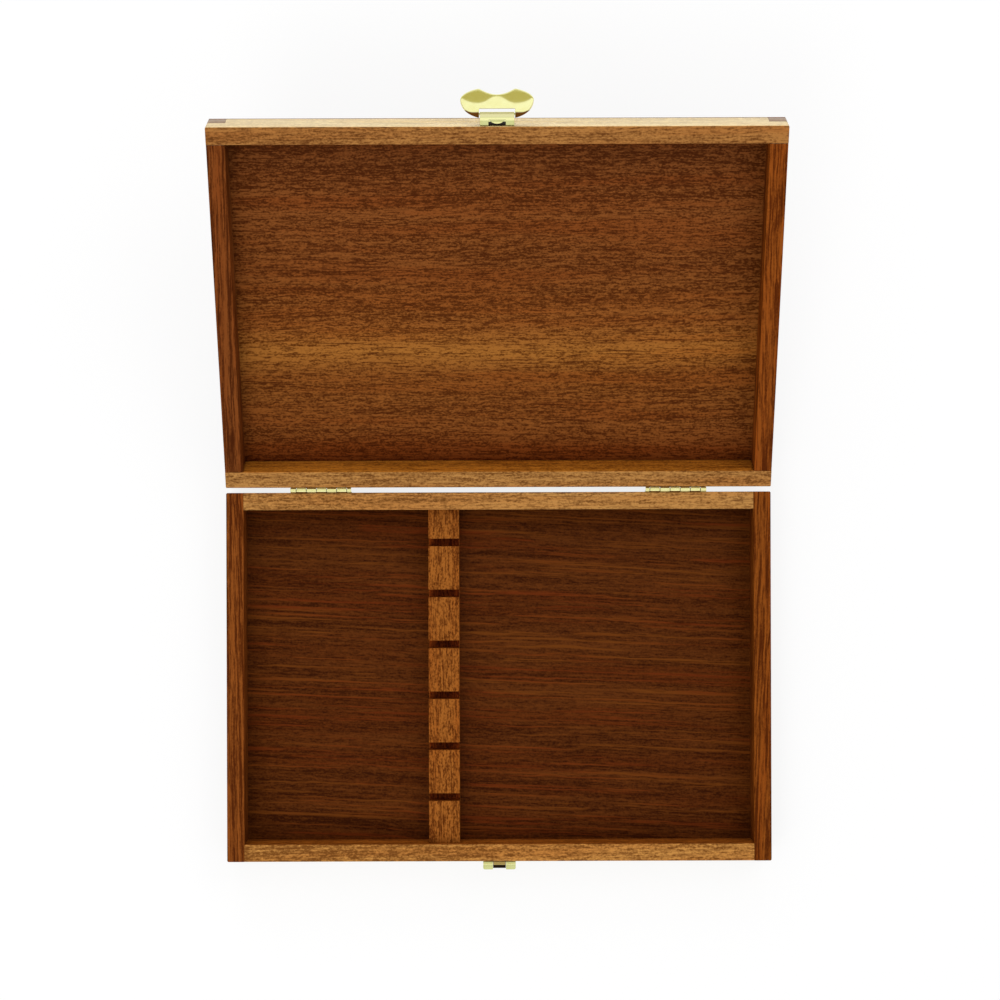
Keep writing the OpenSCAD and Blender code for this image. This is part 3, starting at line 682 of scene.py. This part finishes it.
def latch_bracket():
    """A plate whose top turns out and rolls into a barrel. A tail between two slits turns back
    under the barrel and ends in a curve."""
    width, height, opening, leg_reach = 15.9, 11.0, 8.0, 3.1
    tail_w, tail_start, tail_end, tail_end_turn, roll_turn = 7.8, 0.7, 4.4, 27.6, 290
    plate = height - BEND_OUT
    leg = PIVOT_OUT - BEND_OUT
    foot = [("line", plate), ("arc", BEND_MIDDLE, 90, 1), ("line", leg)]
    roll, rolled = bend_path(foot + [("arc", BEND_MIDDLE, roll_turn, 1)])
    tail, end = bend_path(foot + [("arc", BEND_MIDDLE, 180, 1), ("line", PIVOT_OUT - tail_start)])
    split = end - (PIVOT_OUT - tail_start)
    half, inner = width / 2, tail_w / 2
    tip = arc(0, end - tail_end, tail_end, tail_end_turn, 180 - tail_end_turn)
    outline = (plate_foot(half)
               + [(half, rolled), (inner + SLIT, rolled), (inner + SLIT, split), (inner, split)]
               + tip
               + [(-inner, split), (-inner - SLIT, split), (-inner - SLIT, rolled), (-half, rolled)])
    legs_open = plate + QUARTER + leg_reach - BEND_OUT
    gap = [(-opening / 2, plate), (-opening / 2, legs_open), (opening / 2, legs_open), (opening / 2, plate)]

    def place(u, v, w):
        spot = (tail if abs(u) < inner + SLIT / 2 else roll)(v, w)
        return ON_LID_MM @ on_front(u, SHEET_T / 2 + spot.y, LID_RIM_Z + height - spot.x)
    return sheet_piece("latch_bracket_dressed", [outline, gap] + nail_holes(height), SHEET_T,
                       SHEET_EDGE_R, place, SHEET_GRID)


def latch_keeper():
    """A plate whose top turns out into two ears, with a lower tongue between them that ends in a
    nose turned down."""
    width, height, opening = 16.1, 10.0, 6.4
    drop, reach, side_air = 0.7, 3.545, 0.08
    plate = height - BEND_OUT
    ears, end = bend_path([
        ("line", plate), ("arc", BEND_MIDDLE, 90, 1), ("line", KEEPER_REACH - BEND_OUT)])
    low, nose = bend_path([
        ("line", plate - drop), ("arc", BEND_MIDDLE, 90, 1), ("line", reach - 2 * BEND_OUT),
        ("arc", BEND_MIDDLE, 90, 1)])
    half, slot, tongue = width / 2, opening / 2, opening / 2 - side_air
    start, r = plate - drop, EAR_CORNER_R
    outline = (plate_foot(half) + corner(half - r, end - r, r, 0)
               + [(slot, end), (slot, start), (tongue, start), (tongue, nose),
                  (-tongue, nose), (-tongue, start), (-slot, start), (-slot, end)]
               + corner(-half + r, end - r, r, 90))

    def place(u, v, w):
        spot = (low if abs(u) < (tongue + slot) / 2 else ears)(v, w)
        return on_front(u, SHEET_T / 2 + spot.y, RIM_Z - height + spot.x)
    return sheet_piece("latch_keeper_dressed", [outline] + nail_holes(height), SHEET_T,
                       SHEET_EDGE_R, place, SHEET_GRID)


# The flap's pattern, in millimetres from its pivot. Half an oval above its middle and a deeper
# half below are cut by a round notch in the lobes' edge and by a window for the bracket's barrel
FLAP_W, FLAP_MIDDLE, FLAP_LOBE, FLAP_HEEL, FLAP_T, FLAP_EDGE_R = 33.8, 7.0, 5.2, 10.9, 1.0, 0.3
NOTCH_V, NOTCH_R, NOTCH_ROUND, WINDOW_HALF, WINDOW_V = 25.4, 16.1, 3.2, 8.3, 2.8
# The sheet bows up from its pivot to a flat, and its lobes slope away from there
BOW_R, BOW, FLAT_RISE, LOBE_SLOPE, FLAT_BLEND, CREASE_BLEND = 10.25, 1.6, 0.92, 0.37, 0.08, 0.5
# The crease between them lies this far up, and arches in the middle and at both ends
CREASE_V, CREASE_ARCH, CREASE_ARCH_W, CREASE_ENDS, CREASE_ENDS_W = 4.2, 3.9, 5.1, 2.0, 15
# The heel's rim is thinned from this share of its reach on, by this share of its thickness
THIN_FROM, THINNED = 0.915, 0.6


def round_corner(start, tip, stop, shares):
    """Points on the curve that leaves start towards the tip and comes to stop from it."""
    return [tuple(start.lerp(tip, k).lerp(tip.lerp(stop, k), k)) for k in shares]


def flap_outline():
    def oval(a):
        depth = FLAP_LOBE if math.sin(a) > 0 else FLAP_HEEL
        return (FLAP_W / 2 * math.cos(a), FLAP_MIDDLE + depth * math.sin(a))

    # The lobe's corner is where the oval enters the notch, found by halving
    before, beyond = 0.2, math.pi / 2
    for _ in range(40):
        centre = (before + beyond) / 2
        u, v = oval(centre)
        if math.hypot(u, v - NOTCH_V) > NOTCH_R:
            before = centre
        else:
            beyond = centre
    foot = -math.acos(WINDOW_HALF / (FLAP_W / 2))
    heel_tip, lobe_tip = Vector(oval(foot)), Vector(oval(before))
    turned, heel_rise = 0.05, 0.8
    first, last = foot + turned, before - turned
    right = round_corner(heel_tip + Vector((0, heel_rise)), heel_tip, Vector(oval(first)),
                         [k / CORNER_STEPS for k in range(CORNER_STEPS)])
    right += [oval(first + (last - first) * k / OVAL_STEPS) for k in range(OVAL_STEPS + 1)]
    lean = math.degrees(math.atan2(lobe_tip.y - NOTCH_V, lobe_tip.x)) - NOTCH_ROUND
    notch = arc(0, NOTCH_V, NOTCH_R, lean, -180 - lean, NOTCH_STEPS)
    right += round_corner(Vector(right[-1]), lobe_tip, Vector(notch[0]),
                          [k / CORNER_STEPS for k in range(1, CORNER_STEPS)])
    left = [(-u, v) for u, v in reversed(right)]
    return right + notch + left + [(-WINDOW_HALF, WINDOW_V), (WINDOW_HALF, WINDOW_V)]


def soft_ramp(x, reach):
    """0 below 0 and x above it, with a round turn as wide as the reach."""
    return reach * math.log1p(math.exp(x / reach))


def place_on_flap(u, v, w):
    """The sheet rises from its pivot to a flat middle. The two finger lobes are bent away from it
    along a line that arches up to the notch, and the heel's rim is thinned from the front."""
    reach = math.hypot(u / (FLAP_W / 2), (v - FLAP_MIDDLE) / FLAP_HEEL) if v < FLAP_MIDDLE else 0.0
    thinned = min(1.0, max(0.0, reach - THIN_FROM) / (1 - THIN_FROM))
    w -= THINNED * thinned ** 2 * (w + FLAP_T / 2) / FLAP_T
    below_top = math.sqrt(2 * BOW_R * BOW - BOW * BOW) - v
    rise = BOW + w
    if below_top > 0:
        rise = math.sqrt((BOW_R + w) ** 2 - below_top * below_top) - (BOW_R - BOW)
    rise = FLAT_RISE + w - soft_ramp(FLAT_RISE + w - rise, FLAT_BLEND)
    arch = CREASE_ARCH * math.exp(-(u / CREASE_ARCH_W) ** 2)
    crease = CREASE_V + arch + CREASE_ENDS * (u / CREASE_ENDS_W) ** 4
    return FLAP_OPEN @ Vector((u, rise - LOBE_SLOPE * soft_ramp(v - crease, CREASE_BLEND), -v))


def latch_flap():
    flap = sheet_piece("latch_flap_dressed", [flap_outline()], FLAP_T, FLAP_EDGE_R, place_on_flap,
                       grid=0.6, arcs=4)
    bm = bmesh.new()
    bm.from_mesh(flap.data)
    pivot = FLAP_OPEN @ Matrix.Rotation(math.pi / 2, 4, "Y")
    pivot = Matrix.Translation(pivot.to_translation() * MM) @ pivot.to_3x3().to_4x4()
    bmesh.ops.create_cone(bm, cap_ends=True, segments=BAR_FACES, radius1=BAR_R * MM, radius2=BAR_R * MM,
                          depth=2 * (WINDOW_HALF + BAR_R) * MM, matrix=pivot)
    bm.to_mesh(flap.data)
    bm.free()
    smooth_by_angle(flap.data, SHEET_SHOWN_ANGLE)
    return flap


# Patches of painted highlight, reflection and shade reach to FAR where nothing of the piece lies beyond,
# and sit in front of the case's face
FAR = 20.0
BRACKET_PAINTED_LIGHT = (
    # painted reflections on the barrel, the pale band behind it and the tail, and a painted shade line
    # between band and tail
    ((-FAR, FRONT - 7.0, 0), (FAR, FRONT - 4.4, 2 * FAR), rgb(230, 224, 168)),
    ((-FAR, FRONT - 4.15, 0), (FAR, FRONT - 2.75, 2 * FAR), rgb(248, 245, 176)),
    ((-3.7, FRONT - 1.75, 0), (3.7, FRONT - 0.6, 2 * FAR), rgb(242, 240, 168)),
    ((-3.3, FRONT - 2.1, 0), (3.3, FRONT - 1.95, 2 * FAR), rgb(172, 168, 92)),
    # painted black shade on the plate behind the tail
    ((-4.3, FRONT - 0.7, LID_RIM_Z + 0.6), (4.3, FRONT, LID_RIM_Z + 6.2), None),
)
KEEPER_PAINTED_LIGHT = (
    # painted shade on the tongue and along its sides
    ((-3.3, FRONT - 3.0, RIM_Z - 3.0), (3.3, FRONT, RIM_Z - 0.4), rgb(188, 164, 102)),
    ((-3.3, FRONT - 3.0, RIM_Z - 3.0), (-2.95, FRONT, RIM_Z - 0.4), rgb(112, 100, 34)),
    ((2.95, FRONT - 3.0, RIM_Z - 3.0), (3.3, FRONT, RIM_Z - 0.4), rgb(112, 100, 34)),
    # a painted highlight as a bright line across both ears
    ((-FAR, FRONT - 1.5, RIM_Z - 0.6), (-3.2, FRONT - 0.85, RIM_Z + 1.0), BRASS),
    ((3.2, FRONT - 1.5, RIM_Z - 0.6), (FAR, FRONT - 0.85, RIM_Z + 1.0), BRASS),
    # painted black shade on the tongue's nose
    ((-3.4, FRONT - 6.0, RIM_Z - 3.0), (3.4, FRONT - 1.8, RIM_Z - 0.4), None),
)
# Bracket and keeper get painted highlights, reflections and shade in patches
bracket_brass = plated("bracket_brass", PLATE, lid=True, patches=BRACKET_PAINTED_LIGHT)
keeper_brass = plated("keeper_brass", PLATE, patches=KEEPER_PAINTED_LIGHT)
# The flap's rim gets a painted reflection of the wood
flap_brass = plated("flap_brass", BRASS, mirrors_wood=True)
dress(latch_bracket(), "lid", bracket_brass, "latch_bracket")
dress(latch_keeper(), "base", keeper_brass, "latch_keeper")
dress(latch_flap(), "flap", flap_brass, "latch_flap")


# Floor, light and camera, in metres

WHITE = (1, 1, 1, 1)
FLOOR_HALF, FLOOR_PAPER, FLOOR_GLOW = 4.0, (0.94, 0.94, 0.94, 1), 0.82
WORLD_LIGHT = 0.70
# What polished metal mirrors: a pale room with a dim warm band overhead, by the direction's share
# along Y, and dimmer towards the horizon, by its share along Z
WARM, PALE_ROOM = (0.46, 0.40, 0.13, 1), (0.88, 0.88, 0.86, 1)
ROOM_BAND = ((-0.12, WHITE), (-0.05, WARM), (0.12, WARM), (0.26, PALE_ROOM))
HORIZON_LIGHT, HORIZON_TOP = 0.3, 0.3
# Each lamp's place, aim, sides and power in watts
LAMPS = {
    "key": ((-0.5, -0.9, 1.5), (0, 0.08, 0), (0.9, 0.9), 9),
    "fill": ((0.9, 0.9, 1.3), (0, 0.08, 0), (0.9, 0.9), 5),
    "back": ((-0.2, 1.6, 0.75), (0, 0.25, 0.08), (1.4, 0.7), 8),
}
# The camera looks straight down, a little rolled; its lens and sensor are in millimetres
CAMERA_AT, CAMERA_ROLL, LENS, SENSOR, CLIP_START = (0.00081, 0.08764, 1.1359), -0.173, 81.0, 36.0, 0.01


def stage_floor():
    bm = bmesh.new()
    bmesh.ops.create_grid(bm, x_segments=1, y_segments=1, size=FLOOR_HALF)
    mesh = bpy.data.meshes.new("floor")
    bm.to_mesh(mesh)
    bm.free()
    n = Nodes(bpy.data.materials.new("floor_paper"))
    rays = n.add("ShaderNodeLightPath").outputs
    seen = n.math("MAXIMUM", rays["Is Camera Ray"], rays["Is Glossy Ray"])
    seen = n.math("MAXIMUM", seen, rays["Is Transmission Ray"])
    paper = n.add("ShaderNodeBsdfDiffuse", {"Color": FLOOR_PAPER})
    glow = n.add("ShaderNodeEmission", {"Color": WHITE, "Strength": 1.0})
    mesh.materials.append(n.finish(n.add("ShaderNodeMixShader", {
        0: n.math("MULTIPLY", seen, FLOOR_GLOW), 1: paper.outputs[0], 2: glow.outputs[0],
    }).outputs[0]))
    new_object("floor", mesh)


def studio():
    scene = bpy.context.scene
    scene.view_settings.view_transform = "Standard"
    scene.world = bpy.data.worlds.new("studio")
    n = Nodes(scene.world)
    rays = n.add("ShaderNodeLightPath").outputs
    way = n.split(n.add("ShaderNodeTexCoord").outputs["Generated"])
    stops = [((share + 1) / 2, colour) for share, colour in ROOM_BAND]
    room = n.ramp(n.range(way["Y"], -1.0, 1.0), *stops, interpolation="EASE")
    dimmed = n.range(way["Z"], 0.0, HORIZON_TOP, HORIZON_LIGHT, 1.0)
    light = n.add("ShaderNodeBackground", {"Color": WHITE, "Strength": WORLD_LIGHT})
    mirrored = n.add("ShaderNodeBackground", {"Color": room, "Strength": dimmed})
    ground = n.add("ShaderNodeBackground", {"Color": WHITE, "Strength": 1.0})
    lit = n.add("ShaderNodeMixShader", {
        0: rays["Is Glossy Ray"], 1: light.outputs[0], 2: mirrored.outputs[0]})
    seen = n.math("MAXIMUM", rays["Is Camera Ray"], rays["Is Transmission Ray"])
    n.finish(n.add("ShaderNodeMixShader", {0: seen, 1: lit.outputs[0], 2: ground.outputs[0]}).outputs[0],
             "ShaderNodeOutputWorld")


def lamp(name, place, aim, size, power):
    light = bpy.data.lights.new(name, "AREA")
    light.shape = "RECTANGLE"
    light.size, light.size_y = size
    light.energy = power
    obj = new_object(name, light)
    obj.location = place
    obj.rotation_euler = (Vector(aim) - Vector(place)).to_track_quat("-Z", "Y").to_euler()
    obj.visible_glossy = False


def camera():
    data = bpy.data.cameras.new("camera")
    data.sensor_width = SENSOR
    data.lens = LENS
    data.clip_start = CLIP_START
    obj = new_object("camera", data)
    obj.location = CAMERA_AT
    obj.rotation_euler = (0, 0, math.radians(CAMERA_ROLL))
    bpy.context.scene.camera = obj


stage_floor()
studio()
for name, settings in LAMPS.items():
    lamp(name, *settings)
camera()
